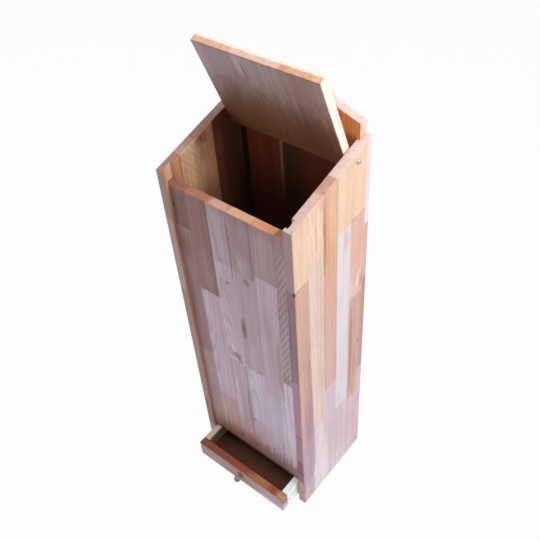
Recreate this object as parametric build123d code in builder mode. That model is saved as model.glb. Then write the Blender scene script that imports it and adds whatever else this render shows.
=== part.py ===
from build123d import *
import math
import os

# Upright bread box: sloped carcass, pivoting lid and a crumb drawer. Millimetres, +Z up.
# The front faces -Y. The origin is on the floor, in the middle of the back's lower edge.
# The lid stands open and the drawer is pulled part of the way out.

# Carcass
box_width = 222.0
box_depth = 166.0
front_height = 639.0
back_height = 682.0
board = 14.0
edge_ease = 1.5
end_ease = 1.0
joint_play = 0.1

# Front panel and back panel
front_lip = 5.0
groove_depth = 5.0
front_panel_bottom = 58.0
shoulder_height = 702.0
shoulder_rise = 12.0
shoulder_round = 5.0
cove_start = 66.0
cove_end = 50.0
cove_rise = 12.0
crest_lip = 5.0
crest_round = 6.0

# Base board and bread floor
base_top = 20.0
cleat_width = 12.0
cleat_height = 12.0
cleat_end_gap = 0.5
slat_count = 6
slat_width = 15.0
slat_thickness = 8.0
slat_end_gap = 0.5

# Lid and its pivots
hinge_inset = 30.0
hinge_drop = 14.5
lid_thickness = 14.0
lid_gap = 1.0
lid_tail = 13.5
lid_front_round = 7.0
lid_open_angle = 68.9
lid_seat_gap = 0.3
pivot_diameter = 5.0
pivot_bite = 20.0
pivot_head_diameter = 7.6
pivot_head_height = 2.2
pivot_head_bevel = 1.2
pivot_head_gap = 0.3
turning_play = 0.1

# Crumb drawer
drawer_gap = 1.0
drawer_float = 0.3
drawer_height = 36.2
drawer_front_thickness = 14.0
drawer_side_thickness = 12.0
drawer_stop_gap = 0.3
drawer_pull = 48.0
drawer_bottom_thickness = 4.0
drawer_bottom_rise = 5.7
drawer_groove_depth = 5.0

# Knob
knob_ball_diameter = 12.0
knob_ball_reach = 8.0
knob_neck_diameter = 5.6
knob_collar_diameter = 8.0
knob_collar_edge = 0.8
knob_lift = 1.2

# Fasteners
held_play = 0.05
tip_gap = 0.3
wood_screw_diameter = 3.5
wood_screw_head_diameter = 7.0
wood_screw_head_angle = 90
knob_screw_bite = 8.0
recess_width = 0.9
recess_depth = 0.9
recess_share = 0.6
brad_width = 1.2
brad_head_length = 2.4
brad_head_height = 0.6
cleat_brad_length = 20.0
slat_brad_length = 16.0
drawer_brad_length = 26.0
drawer_brad_inset = 8.0
dowel_diameter = 6.0
dowel_front_bite = 9.0
dowel_side_bite = 13.0
dowel_lower_lift = 5.0
dowel_upper_drop = 8.0

# Planes of the carcass
half_width = box_width / 2
inner_half = half_width - board
groove_half = inner_half + groove_depth
panel_half = groove_half - joint_play
back_y = 0.0
front_y = back_y - box_depth
front_panel_y = front_y + front_lip
front_panel_back = front_panel_y + board
back_panel_y = back_y - board
base_bottom = base_top - board
cleat_top = front_panel_bottom + cleat_height
slat_top = cleat_top + slat_thickness

# Hinge line, and the lid's reach from it to the front edges of the sides
slope = math.atan2(back_height - front_height, box_depth)
hinge_y = back_y - hinge_inset
hinge_z = front_height + (hinge_y - front_y) * math.tan(slope) - hinge_drop
lid_reach = (hinge_y - front_y) / math.cos(slope)
lid_half = inner_half - lid_gap

# The front panel's top lies under the lid when it is shut, parallel to the sloped tops
lid_seat_z = hinge_z - (hinge_y - front_panel_y) * math.tan(slope)
front_panel_top = lid_seat_z - lid_thickness / 2 / math.cos(slope) - lid_seat_gap

# Planes of the drawer, pulled out by drawer_pull
drawer_half = inner_half - drawer_gap
drawer_inner_half = drawer_half - drawer_side_thickness
drawer_base = base_top + drawer_float
drawer_top = drawer_base + drawer_height
drawer_front_y = front_panel_y - drawer_pull
drawer_front_back = drawer_front_y + drawer_front_thickness
drawer_end_y = back_panel_y - drawer_stop_gap - drawer_pull
drawer_floor_under = drawer_base + drawer_bottom_rise
drawer_floor_top = drawer_floor_under + drawer_bottom_thickness
drawer_groove_top = drawer_floor_top + joint_play
drawer_groove_half = drawer_inner_half + drawer_groove_depth
knob_z = drawer_base + drawer_height / 2 + knob_lift

# Rows of fasteners
slat_brad_x = inner_half - cleat_width / 2
slat_pitch = (back_panel_y - front_panel_back) / slat_count
slat_ys = [front_panel_back + (n + 0.5) * slat_pitch for n in range(slat_count)]
cleat_brad_ys = [y + slat_pitch / 2 for y in slat_ys[::2]]
cleat_brad_z = front_panel_bottom + cleat_height / 2
dowel_x = drawer_half - drawer_side_thickness / 2
dowel_zs = (drawer_floor_top + dowel_lower_lift, drawer_top - dowel_upper_drop)
drawer_brad_y = drawer_end_y - drawer_side_thickness / 2
drawer_brad_zs = (drawer_floor_top + drawer_brad_inset, drawer_top - drawer_brad_inset)

hands = {"left": -1, "right": 1}
below = (Align.CENTER, Align.CENTER, Align.MAX)
above = (Align.CENTER, Align.CENTER, Align.MIN)


def facing_in(hand, x, y, z):
    # Plane on the left or right, its normal pointing to the middle of the box
    return Plane(origin=(hand * x, y, z), x_dir=(0, 1, 0), z_dir=(-hand, 0, 0))


def facing_out(hand, x, y, z):
    # Plane on the left or right, its normal pointing away from the middle of the box
    return Plane(origin=(hand * x, y, z), x_dir=(0, 1, 0), z_dir=(hand, 0, 0))


def facing_back(x, y, z):
    return Plane(origin=(x, y, z), x_dir=(1, 0, 0), z_dir=(0, 1, 0))


def facing_front(x, y, z):
    return Plane(origin=(x, y, z), x_dir=(1, 0, 0), z_dir=(0, -1, 0))


def on_hand(hand, near, far):
    # Range of x between two distances from the middle, on the side of that hand
    return tuple(sorted((hand * near, hand * far)))


def block(x_range, y_range, z_range, mode=Mode.ADD):
    # Square-edged board, or cut, between three pairs of planes
    ranges = (x_range, y_range, z_range)
    with Locations(tuple((low + high) / 2 for low, high in ranges)):
        Box(*[high - low for low, high in ranges], mode=mode)


def cross_recess(head_diameter):
    # Driver recess cut into a screw head, below each open location
    reach = recess_share * head_diameter
    Box(reach, recess_width, recess_depth, align=below, mode=Mode.SUBTRACT)
    Box(recess_width, reach, recess_depth, align=below, mode=Mode.SUBTRACT)


def wood_screw(length):
    # Countersunk screw, its flat head level with each open location
    head = wood_screw_head_diameter / 2 - held_play
    shank = wood_screw_diameter / 2
    Cone(bottom_radius=shank, top_radius=head, height=head - shank, align=below)
    Cylinder(shank, length, align=below)
    cross_recess(2 * head)


def wood_screw_hole(length):
    CounterSinkHole(
        radius=wood_screw_diameter / 2 + held_play,
        counter_sink_radius=wood_screw_head_diameter / 2,
        counter_sink_angle=wood_screw_head_angle,
        depth=length,
    )


def brad(length):
    # Square wire nail with a slim T head, level with each open location
    Box(brad_head_length, brad_width, brad_head_height, align=below)
    Box(brad_width, brad_width, length, align=below)


def brad_cut(length):
    # The same nail with a little play, taken out of the wood it goes through
    width = brad_width + 2 * held_play
    Box(brad_head_length + 2 * held_play, width, brad_head_height, align=below, mode=Mode.SUBTRACT)
    Box(width, width, length, align=below, mode=Mode.SUBTRACT)


def brad_end_cut(depth):
    # Square hole that holds the end of a brad
    width = brad_width + 2 * held_play
    Box(width, width, depth + tip_gap, align=below, mode=Mode.SUBTRACT)


def blind_hole(diameter, depth):
    # Hole that holds the end of a pin, screw or dowel
    Hole(diameter / 2 + held_play, depth=depth + tip_gap)


def save(builder, name):
    builder.part.label = name
    export_step(builder.part, f"parts/{name}.step")


os.makedirs("parts", exist_ok=True)

# Side panels: sloped tops, front groove, back rabbet and base housing
for side_name, hand in hands.items():
    with BuildPart() as side:
        with BuildSketch(Plane.YZ.offset(hand * half_width)):
            with BuildLine():
                Polyline(
                    (front_y, 0),
                    (back_y, 0),
                    (back_y, back_height),
                    (front_y, front_height),
                    close=True,
                )
            make_face()
        extrude(amount=-hand * board)
        foot = side.faces().sort_by(Axis.Z)[0]
        long_edges = side.edges().filter_by(Axis.X, reverse=True) - foot.edges()
        fillet(long_edges, radius=edge_ease)
        cut_x = on_hand(hand, inner_half - joint_play, groove_half)
        front_groove = (front_panel_y, front_panel_back)
        back_rabbet = (back_panel_y, back_y)
        block(cut_x, front_groove, (front_panel_bottom, back_height), Mode.SUBTRACT)
        block(cut_x, back_rabbet, (0, back_height), Mode.SUBTRACT)
        block(cut_x, (front_panel_y, back_panel_y), (base_bottom, base_top), Mode.SUBTRACT)
        with Locations(facing_out(hand, half_width, hinge_y, hinge_z)):
            Hole(pivot_diameter / 2 + turning_play, depth=board)
        with Locations([facing_in(hand, inner_half, y, cleat_brad_z) for y in cleat_brad_ys]):
            brad_end_cut(cleat_brad_length - cleat_width)
    save(side, f"{side_name}_side")

# Front panel, held in the front grooves of the sides
with BuildPart() as front_panel:
    block(
        (-panel_half, panel_half),
        (front_panel_y, front_panel_back),
        (front_panel_bottom, front_panel_top),
    )
    fillet(front_panel.edges().filter_by(Axis.X), radius=edge_ease)
save(front_panel, "front_panel")

# Back panel, in the back rabbets, with a crest that sweeps up from low shoulders
with BuildPart() as back_panel:
    with BuildSketch(Plane.XZ.offset(-back_y)) as outline:
        with BuildLine():
            shoulder = Polyline(
                (0, 0),
                (panel_half, 0),
                (panel_half, shoulder_height),
                (cove_start, shoulder_height + shoulder_rise),
            )
            cove = TangentArc(
                shoulder @ 1,
                (cove_end, shoulder_height + shoulder_rise + cove_rise),
                tangent=(cove_start - panel_half, shoulder_rise),
            )
            lip = PolarLine(cove @ 1, crest_lip, direction=cove % 1)
            Line(lip @ 1, (0, (lip @ 1).Y))
            mirror(about=Plane.YZ)
        make_face()
        levels = outline.vertices().group_by(Axis.Y)
        crest_corners = levels[-1].sort_by(Axis.X)
        fillet([crest_corners[0], crest_corners[-1]], radius=crest_round)
        fillet(levels[1], radius=shoulder_round)
    extrude(amount=board)
    rim_height = shoulder_height - shoulder_round
    broad_faces = back_panel.faces().filter_by(Axis.Y)
    chamfer(broad_faces.edges().filter_by(lambda e: e.center().Z > rim_height), length=end_ease)
save(back_panel, "back_panel")

# Base board, housed in the sides under the drawer
with BuildPart() as base_board:
    block((-panel_half, panel_half), (front_panel_y, back_panel_y), (base_bottom, base_top))
save(base_board, "base_board")

# Cleats that carry the bread floor and keep the drawer level
cleat_face = inner_half - cleat_width
for side_name, hand in hands.items():
    with BuildPart() as cleat:
        block(
            on_hand(hand, cleat_face, inner_half),
            (front_panel_back + cleat_end_gap, back_panel_y - cleat_end_gap),
            (front_panel_bottom, cleat_top),
        )
        with Locations([facing_in(hand, cleat_face, y, cleat_brad_z) for y in cleat_brad_ys]):
            brad_cut(cleat_width)
        with Locations([(hand * slat_brad_x, y, cleat_top) for y in slat_ys]):
            brad_end_cut(slat_brad_length - slat_thickness)
    save(cleat, f"{side_name}_floor_cleat")

with BuildPart() as cleat_brads:
    for hand in hands.values():
        with Locations([facing_in(hand, cleat_face, y, cleat_brad_z) for y in cleat_brad_ys]):
            brad(cleat_brad_length)
save(cleat_brads, "cleat_brads")

# Slats of the bread floor, with gaps that let crumbs fall into the drawer
for number, slat_y in enumerate(slat_ys, start=1):
    with BuildPart() as slat:
        block(
            (slat_end_gap - inner_half, inner_half - slat_end_gap),
            (slat_y - slat_width / 2, slat_y + slat_width / 2),
            (cleat_top, slat_top),
        )
        fillet(slat.faces().sort_by(Axis.Z)[-1].edges().filter_by(Axis.X), radius=edge_ease)
        with Locations([(hand * slat_brad_x, slat_y, slat_top) for hand in hands.values()]):
            brad_cut(slat_thickness)
    save(slat, f"floor_slat_{number}")

with BuildPart() as slat_brads:
    brad_spots = [(hand * slat_brad_x, y, slat_top) for hand in hands.values() for y in slat_ys]
    with Locations(brad_spots):
        brad(slat_brad_length)
save(slat_brads, "slat_brads")

# Lid, drawn in profile at the hinge line and run across between the sides
tail_way = (0, math.cos(math.radians(lid_open_angle)), -math.sin(math.radians(lid_open_angle)))
lid_end = Plane(origin=(-lid_half, hinge_y, hinge_z), x_dir=tail_way, z_dir=(1, 0, 0))
with BuildPart() as lid:
    with BuildSketch(lid_end) as profile:
        with Locations(((lid_tail - lid_reach) / 2, 0)):
            Rectangle(lid_reach + lid_tail, lid_thickness)
        front_top = profile.vertices().sort_by(Axis.X)[:2].sort_by(Axis.Y)[-1]
        fillet(profile.vertices() - [front_top], radius=edge_ease)
        fillet(front_top, radius=lid_front_round)
    extrude(amount=2 * lid_half)
    chamfer(lid.faces().filter_by(Axis.X).edges(), length=end_ease)
    with Locations([facing_out(hand, lid_half, hinge_y, hinge_z) for hand in hands.values()]):
        blind_hole(pivot_diameter, pivot_bite)
save(lid, "lid")

# Pivot screws: held in the lid's ends, turning in the sides
for side_name, hand in hands.items():
    head_seat = half_width + pivot_head_gap
    with BuildPart() as pivot_screw:
        with Locations(facing_out(hand, head_seat, hinge_y, hinge_z)):
            Cylinder(pivot_head_diameter / 2, pivot_head_height, align=above)
            Cylinder(pivot_diameter / 2, head_seat - lid_half + pivot_bite, align=below)
        head_edge = pivot_screw.edges().sort_by(Axis.X)[-1 if hand > 0 else 0]
        chamfer(head_edge, length=pivot_head_bevel)
        with Locations(facing_out(hand, head_seat + pivot_head_height, hinge_y, hinge_z)):
            cross_recess(pivot_head_diameter)
    save(pivot_screw, f"{side_name}_pivot_screw")

# Drawer front, grooved for the drawer's bottom
with BuildPart() as drawer_front:
    block(
        (-drawer_half, drawer_half),
        (drawer_front_y, drawer_front_back),
        (drawer_base, drawer_top),
    )
    front_face = drawer_front.faces().sort_by(Axis.Y)[0]
    top_face = drawer_front.faces().sort_by(Axis.Z)[-1]
    long_edges = set([*front_face.edges(), *top_face.edges()])
    fillet(ShapeList(long_edges).filter_by(Axis.X), radius=edge_ease)
    end_faces = drawer_front.faces().filter_by(Axis.X)
    chamfer(end_faces.edges().filter_by(Axis.Z).group_by(Axis.Y)[0], length=end_ease)
    block(
        (-drawer_groove_half, drawer_groove_half),
        (drawer_front_back - drawer_groove_depth, drawer_front_back),
        (drawer_floor_under, drawer_groove_top),
        Mode.SUBTRACT,
    )
    dowel_spots = [(hand * dowel_x, drawer_front_back, z) for hand in hands.values() for z in dowel_zs]
    with Locations([facing_back(*spot) for spot in dowel_spots]):
        blind_hole(dowel_diameter, dowel_front_bite)
    with Locations(facing_back(0, drawer_front_back, knob_z)):
        wood_screw_hole(drawer_front_thickness)
save(drawer_front, "drawer_front")

# Drawer sides, grooved on the inside for the bottom and nailed to the back
for side_name, hand in hands.items():
    with BuildPart() as drawer_side:
        block(
            on_hand(hand, drawer_inner_half, drawer_half),
            (drawer_front_back, drawer_end_y),
            (drawer_base, drawer_top),
        )
        top_face = drawer_side.faces().sort_by(Axis.Z)[-1]
        fillet(top_face.edges().filter_by(Axis.Y), radius=edge_ease / 2)
        block(
            on_hand(hand, drawer_inner_half, drawer_groove_half),
            (drawer_front_back, drawer_end_y),
            (drawer_floor_under, drawer_groove_top),
            Mode.SUBTRACT,
        )
        with Locations([facing_front(hand * dowel_x, drawer_front_back, z) for z in dowel_zs]):
            blind_hole(dowel_diameter, dowel_side_bite)
        with Locations([facing_out(hand, drawer_half, drawer_brad_y, z) for z in drawer_brad_zs]):
            brad_cut(drawer_side_thickness)
    save(drawer_side, f"drawer_{side_name}_side")

# Drawer back, standing on the bottom between the sides
with BuildPart() as drawer_back:
    block(
        (-drawer_inner_half, drawer_inner_half),
        (drawer_end_y - drawer_side_thickness, drawer_end_y),
        (drawer_groove_top, drawer_top),
    )
    for hand in hands.values():
        with Locations([facing_out(hand, drawer_inner_half, drawer_brad_y, z) for z in drawer_brad_zs]):
            brad_end_cut(drawer_brad_length - drawer_side_thickness)
save(drawer_back, "drawer_back")

# Drawer bottom, slid into the grooves under the back
with BuildPart() as drawer_bottom:
    block(
        (joint_play - drawer_groove_half, drawer_groove_half - joint_play),
        (drawer_front_back - drawer_groove_depth + joint_play, drawer_end_y),
        (drawer_floor_under, drawer_floor_top),
    )
save(drawer_bottom, "drawer_bottom")

with BuildPart() as drawer_dowels:
    with Locations([facing_back(*spot) for spot in dowel_spots]):
        Cylinder(dowel_diameter / 2, dowel_front_bite, align=below)
        Cylinder(dowel_diameter / 2, dowel_side_bite, align=above)
save(drawer_dowels, "drawer_dowels")

with BuildPart() as drawer_brads:
    for hand in hands.values():
        with Locations([facing_out(hand, drawer_half, drawer_brad_y, z) for z in drawer_brad_zs]):
            brad(drawer_brad_length)
save(drawer_brads, "drawer_brads")

# Turned ball knob: collar, waisted neck and ball in one profile
knob_axis = Axis((0, drawer_front_y, knob_z), (0, -1, 0))
ball_radius = knob_ball_diameter / 2
neck_radius = knob_neck_diameter / 2
collar_radius = knob_collar_diameter / 2
neck_reach = knob_ball_reach - math.sqrt(ball_radius**2 - neck_radius**2)
with BuildPart() as knob:
    with BuildSketch(Plane(origin=(0, drawer_front_y, knob_z), x_dir=(1, 0, 0), z_dir=(0, 0, -1))):
        with BuildLine():
            Polyline((0, 0), (collar_radius, 0), (collar_radius, knob_collar_edge))
            Line((collar_radius, knob_collar_edge), (neck_radius, neck_reach))
            ThreePointArc(
                (neck_radius, neck_reach),
                (ball_radius, knob_ball_reach),
                (0, knob_ball_reach + ball_radius),
            )
            Line((0, knob_ball_reach + ball_radius), (0, 0))
        make_face()
    revolve(axis=knob_axis)
    with Locations(facing_back(0, drawer_front_y, knob_z)):
        blind_hole(wood_screw_diameter, knob_screw_bite)
save(knob, "drawer_knob")

with BuildPart() as knob_screw:
    with Locations(facing_back(0, drawer_front_back, knob_z)):
        wood_screw(drawer_front_thickness + knob_screw_bite)
save(knob_screw, "knob_screw")
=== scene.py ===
import math
import bmesh
import bpy
from mathutils import Matrix, Vector


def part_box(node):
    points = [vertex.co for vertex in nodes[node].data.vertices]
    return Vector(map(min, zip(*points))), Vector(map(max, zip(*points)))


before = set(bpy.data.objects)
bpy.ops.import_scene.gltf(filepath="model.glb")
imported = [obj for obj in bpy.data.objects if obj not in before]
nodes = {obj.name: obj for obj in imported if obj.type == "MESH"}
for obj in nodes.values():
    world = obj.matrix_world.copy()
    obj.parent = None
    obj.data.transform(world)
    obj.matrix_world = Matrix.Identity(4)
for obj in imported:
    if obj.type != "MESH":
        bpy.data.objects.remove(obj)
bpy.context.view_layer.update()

print("frame loaded,", len(nodes), "nodes")

# Wood tones as they look on screen, 0 to 1
woodTones = {
    "ivory": (0.96, 0.94, 0.91),
    "ashWhite": (0.85, 0.82, 0.845),
    "frostLilac": (0.86, 0.80, 0.86),
    "whiteLilac": (0.97, 0.92, 0.97),
    "paleLilac": (0.90, 0.85, 0.90),
    "pinkLilac": (0.82, 0.74, 0.78),
    "rosyLilac": (0.81, 0.71, 0.745),
    "lilac": (0.88, 0.78, 0.83),
    "mauve": (0.83, 0.72, 0.76),
    "greyRose": (0.76, 0.64, 0.63),
    "greyLilac": (0.80, 0.71, 0.74),
    "greyMauve": (0.75, 0.63, 0.645),
    "greyOlive": (0.70, 0.60, 0.575),
    "sandRose": (0.81, 0.70, 0.67),
    "oldRose": (0.74, 0.59, 0.58),
    "duskRose": (0.65, 0.485, 0.46),
    "duskMauve": (0.645, 0.485, 0.505),
    "mauveRose": (0.69, 0.53, 0.535),
    "roseMauve": (0.75, 0.60, 0.64),
    "roseTan": (0.72, 0.57, 0.53),
    "fawnRose": (0.80, 0.665, 0.635),
    "cocoa": (0.57, 0.41, 0.38),
    "shell": (0.89, 0.77, 0.68),
    "petal": (0.855, 0.765, 0.725),
    "paleShell": (0.90, 0.81, 0.77),
    "apricot": (0.84, 0.70, 0.58),
    "salmon": (0.84, 0.69, 0.65),
    "blush": (0.82, 0.69, 0.66),
    "rosewater": (0.78, 0.66, 0.66),
    "sandBlush": (0.84, 0.70, 0.68),
    "heartMauve": (0.66, 0.52, 0.60),
    "heartLilac": (0.71, 0.60, 0.69),
    "slateMauve": (0.665, 0.53, 0.565),
    "plum": (0.46, 0.34, 0.50),
    "wheat": (0.95, 0.84, 0.72),
    "hazel": (0.83, 0.64, 0.53),
    "rosewood": (0.70, 0.50, 0.46),
    "duskSand": (0.77, 0.63, 0.60),
    "tan": (0.78, 0.63, 0.58),
    "honey": (0.84, 0.64, 0.46),
    "lipTan": (0.84, 0.65, 0.51),
    "amber": (0.98, 0.68, 0.41),
    "olive": (0.74, 0.63, 0.50),
    "chestnut": (0.68, 0.47, 0.36),
    "russet": (0.56, 0.275, 0.15),
    "driftBrown": (0.57, 0.41, 0.30),
    "bark": (0.56, 0.35, 0.22),
    "oxblood": (0.62, 0.31, 0.21),
    "umber": (0.44, 0.30, 0.25),
    "mahogany": (0.35, 0.155, 0.08),
    "bloodBrown": (0.43, 0.20, 0.12),
    "deepPeat": (0.31, 0.21, 0.14),
    "maroon": (0.46, 0.27, 0.23),
    "knobBrown": (0.68, 0.55, 0.50),
    "knotRose": (0.54, 0.37, 0.36),
    # knotAndShadeBrown is the colour of knots, and also painted shade round the knob's neck
    "knotAndShadeBrown": (0.40, 0.20, 0.16),
    # shadowBlack is painted shade: the dark of the box's inner faces and of the drawer floor
    "shadowBlack": (0.20, 0.11, 0.07),
    "ink": (0.12, 0.07, 0.06),
    "softwood": (0.95, 0.99, 1.00),
    "creamWood": (0.86, 0.82, 0.73),
    "dimCream": (0.68, 0.57, 0.46),
    "endRose": (0.82, 0.715, 0.695),
    "endPink": (0.91, 0.83, 0.83),
    "endDusk": (0.755, 0.605, 0.575),
    "endUmber": (0.56, 0.40, 0.345),
    "endFawn": (0.68, 0.57, 0.525),
    "endSepia": (0.505, 0.36, 0.315),
    "endTan": (0.63, 0.48, 0.42),
    "endAmber": (0.78, 0.60, 0.51),
    "endPeach": (0.84, 0.68, 0.55),
    "endSand": (0.86, 0.75, 0.67),
    "endOrange": (0.83, 0.60, 0.45),
    "endRust": (0.67, 0.45, 0.36),
    "endBark": (0.56, 0.38, 0.30),
}
mm = 0.001


def linear(tone):
    # A colour as seen on screen, turned into the linear one that sockets take
    return (*[c / 12.92 if c <= 0.04045 else ((c + 0.055) / 1.055) ** 2.4 for c in tone], 1.0)


def woodTone(name):
    return linear(woodTones[name])


# Small helpers for node trees
def add(tree, kind, **settings):
    node = tree.nodes.new(kind)
    for key, value in settings.items():
        setattr(node, key, value)
    return node


def feed(tree, socket, value):
    if isinstance(value, bpy.types.NodeSocket):
        tree.links.new(value, socket)
    elif value is not None:
        socket.default_value = value


def calc(tree, operation, a, b=None, c=None):
    node = add(tree, "ShaderNodeMath", operation=operation)
    for socket, value in zip(node.inputs, (a, b, c)):
        feed(tree, socket, value)
    return node.outputs[0]


def vectorCalc(tree, operation, a, b=None):
    node = add(tree, "ShaderNodeVectorMath", operation=operation)
    feed(tree, node.inputs[0], a)
    feed(tree, node.inputs[1], b)
    return node.outputs["Value" if operation in ("LENGTH", "DOT_PRODUCT") else "Vector"]


def ease(tree, value, start, end, low=0.0, high=1.0):
    # Smooth step from low to high while the value goes from start to end
    node = add(tree, "ShaderNodeMapRange", interpolation_type="SMOOTHSTEP")
    for socket, number in zip(node.inputs, (value, start, end, low, high)):
        feed(tree, socket, number)
    return node.outputs[0]


def blend(tree, share, a, b, how="MIX"):
    node = add(tree, "ShaderNodeMix", data_type="RGBA", blend_type=how)
    for index, value in ((0, share), (6, a), (7, b)):
        feed(tree, node.inputs[index], value)
    return node.outputs[2]


def blendNumber(tree, share, a, b):
    node = add(tree, "ShaderNodeMix", data_type="FLOAT")
    for index, value in ((0, share), (2, a), (3, b)):
        feed(tree, node.inputs[index], value)
    return node.outputs[0]


def noise(tree, place, stretch, detail=2.0, roughness=0.5):
    # Noise with its own number of waves per millimetre along each axis
    node = add(tree, "ShaderNodeTexNoise")
    feed(tree, node.inputs["Vector"], vectorCalc(tree, "MULTIPLY", place, stretch))
    node.inputs["Scale"].default_value = 1.0
    node.inputs["Detail"].default_value = detail
    node.inputs["Roughness"].default_value = roughness
    return node.outputs["Fac"]


def newGroup(name, inputs, outputs):
    tree = bpy.data.node_groups.new(name, "ShaderNodeTree")
    for way, sockets in (("INPUT", inputs), ("OUTPUT", outputs)):
        for label, kind in sockets:
            tree.interface.new_socket(label, in_out=way, socket_type="NodeSocket" + kind)
    return tree, add(tree, "NodeGroupInput").outputs, add(tree, "NodeGroupOutput").inputs


def stain(tree, share, colour, tone):
    # The colour, multiplied by a tone as far as share says
    return blend(tree, share, colour, blend(tree, 1.0, colour, linear(tone), "MULTIPLY"))


# Grain of one piece of wood. Place is in millimetres: across, through and along the piece.
# Waves are counts per millimetre, spreads are a factor and an offset, ranges are for ease
grainSettings = {
    "lateWood": (0.70, 0.56, 0.50),
    "darkStreak": (0.74, 0.60, 0.55),
    "paleStreak": (1.34, 1.42, 1.50),
    "pore": (0.52, 0.40, 0.35),
    "lineShare": 0.34,
    "streakShare": 0.36,
    "paleShare": 0.45,
    "poreShare": 0.28,
    "seedStep": 91.7,
    "logSpread": (700, 700, 3000),
    "pithTurnSpread": (2.6, -1.3),
    "pithReachSpread": (60.0, 26.0),
    "ringWidthSpread": (1.9, 1.5),
    "tiltSpread": (0.05, -0.025),
    "fibreSpread": (0.26, 0.87),
    "patchSpread": (0.24, -0.12),
    "roughSpread": (0.16, 0.44),
    "swayWaves": (0.014, 0.014, 0.0028),
    "fibreWaves": (1.2, 1.2, 0.028),
    "streakWaves": (0.13, 0.13, 0.0035),
    "patchWaves": (0.035, 0.035, 0.012),
    "poreWaves": (2.1, 2.1, 0.09),
    "riseRange": (0.30, 0.86),
    "fallRange": (0.88, 1.0, 1.0, 0.0),
    "yearRange": (0.36, 0.62, 0.25, 1.0),
    "poreRange": (0.60, 0.72),
    "darkRange": (0.50, 0.74),
    "paleRange": (0.48, 0.26),
    "swayReach": 13.0,
    "yearStep": 0.55,
    "endRoughness": 0.14,
    "lineHeight": 0.35,
    "poreHeight": -0.6,
}


def makeGrainGroup(name, settings):
    inputs = [("Place", "Vector"), ("Tone", "Color"), ("Seed", "Float"), ("Bend", "Float"), ("End", "Float")]
    outputs = [("Color", "Color"), ("Roughness", "Float"), ("Height", "Float")]
    tree, source, result = newGroup(name, inputs, outputs)
    place = source["Place"]
    tone = source["Tone"]
    end = source["End"]

    # Every piece comes from its own place in its own log
    chance = add(tree, "ShaderNodeTexWhiteNoise", noise_dimensions="1D")
    feed(tree, chance.inputs["W"], calc(tree, "MULTIPLY", source["Seed"], settings["seedStep"]))
    draws = add(tree, "ShaderNodeSeparateXYZ")
    feed(tree, draws.inputs[0], chance.outputs["Color"])
    shift = vectorCalc(tree, "MULTIPLY", chance.outputs["Color"], settings["logSpread"])
    own = vectorCalc(tree, "ADD", place, shift)
    parts = add(tree, "ShaderNodeSeparateXYZ")
    feed(tree, parts.inputs[0], place)

    # Rings round a pith that lies outside the piece
    turn = calc(tree, "MULTIPLY_ADD", draws.outputs[0], *settings["pithTurnSpread"])
    reach = calc(tree, "MULTIPLY_ADD", draws.outputs[1], *settings["pithReachSpread"])
    pithAcross = calc(tree, "MULTIPLY", calc(tree, "SINE", turn), reach)
    pithThrough = calc(tree, "MULTIPLY", calc(tree, "COSINE", turn), reach)
    offAcross = calc(tree, "SUBTRACT", parts.outputs[0], pithAcross)
    offThrough = calc(tree, "SUBTRACT", parts.outputs[1], pithThrough)
    acrossSquare = calc(tree, "MULTIPLY", offAcross, offAcross)
    throughSquare = calc(tree, "MULTIPLY", offThrough, offThrough)
    radius = calc(tree, "SQRT", calc(tree, "ADD", acrossSquare, throughSquare))
    sway = noise(tree, own, settings["swayWaves"], 2.0)
    wobble = calc(tree, "MULTIPLY_ADD", sway, settings["swayReach"], source["Bend"])
    tilt = calc(tree, "MULTIPLY_ADD", draws.outputs[2], *settings["tiltSpread"])
    lean = calc(tree, "MULTIPLY", parts.outputs[2], tilt)
    depth = calc(tree, "ADD", calc(tree, "ADD", radius, wobble), lean)
    ringWidth = calc(tree, "MULTIPLY_ADD", draws.outputs[1], *settings["ringWidthSpread"])
    rings = calc(tree, "DIVIDE", depth, ringWidth)
    phase = calc(tree, "FRACT", rings)
    rise = ease(tree, phase, *settings["riseRange"])
    fall = ease(tree, phase, *settings["fallRange"])
    years = add(tree, "ShaderNodeTexNoise", noise_dimensions="1D")
    feed(tree, years.inputs["W"], calc(tree, "MULTIPLY", rings, settings["yearStep"]))
    strong = ease(tree, years.outputs["Fac"], *settings["yearRange"])
    line = calc(tree, "MULTIPLY", calc(tree, "MULTIPLY", rise, fall), strong)

    # Fibres, long streaks, patches and pores
    fibre = noise(tree, own, settings["fibreWaves"], 3.0, 0.6)
    streak = noise(tree, own, settings["streakWaves"], 3.0, 0.6)
    patch = noise(tree, own, settings["patchWaves"], 2.0)
    pore = ease(tree, noise(tree, own, settings["poreWaves"], 1.0), *settings["poreRange"])

    lateShare = calc(tree, "MULTIPLY", line, settings["lineShare"])
    colour = stain(tree, lateShare, tone, settings["lateWood"])
    darkShare = ease(tree, streak, *settings["darkRange"], 0.0, settings["streakShare"])
    colour = stain(tree, darkShare, colour, settings["darkStreak"])
    paleShare = ease(tree, streak, *settings["paleRange"], 0.0, settings["paleShare"])
    colour = blend(tree, paleShare, colour, vectorCalc(tree, "MULTIPLY", colour, settings["paleStreak"]))
    level = calc(tree, "MULTIPLY_ADD", fibre, *settings["fibreSpread"])
    level = calc(tree, "ADD", level, calc(tree, "MULTIPLY_ADD", patch, *settings["patchSpread"]))
    shade = add(tree, "ShaderNodeCombineColor")
    for socket in shade.inputs:
        feed(tree, socket, level)
    colour = blend(tree, 1.0, colour, shade.outputs[0], "MULTIPLY")
    poreShare = calc(tree, "MULTIPLY", pore, settings["poreShare"])
    feed(tree, result["Color"], stain(tree, poreShare, colour, settings["pore"]))

    rough = calc(tree, "MULTIPLY_ADD", fibre, *settings["roughSpread"])
    rough = calc(tree, "ADD", rough, calc(tree, "MULTIPLY", end, settings["endRoughness"]))
    feed(tree, result["Roughness"], rough)
    height = calc(tree, "MULTIPLY_ADD", line, settings["lineHeight"], fibre)
    feed(tree, result["Height"], calc(tree, "MULTIPLY_ADD", pore, settings["poreHeight"], height))
    return tree


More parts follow.
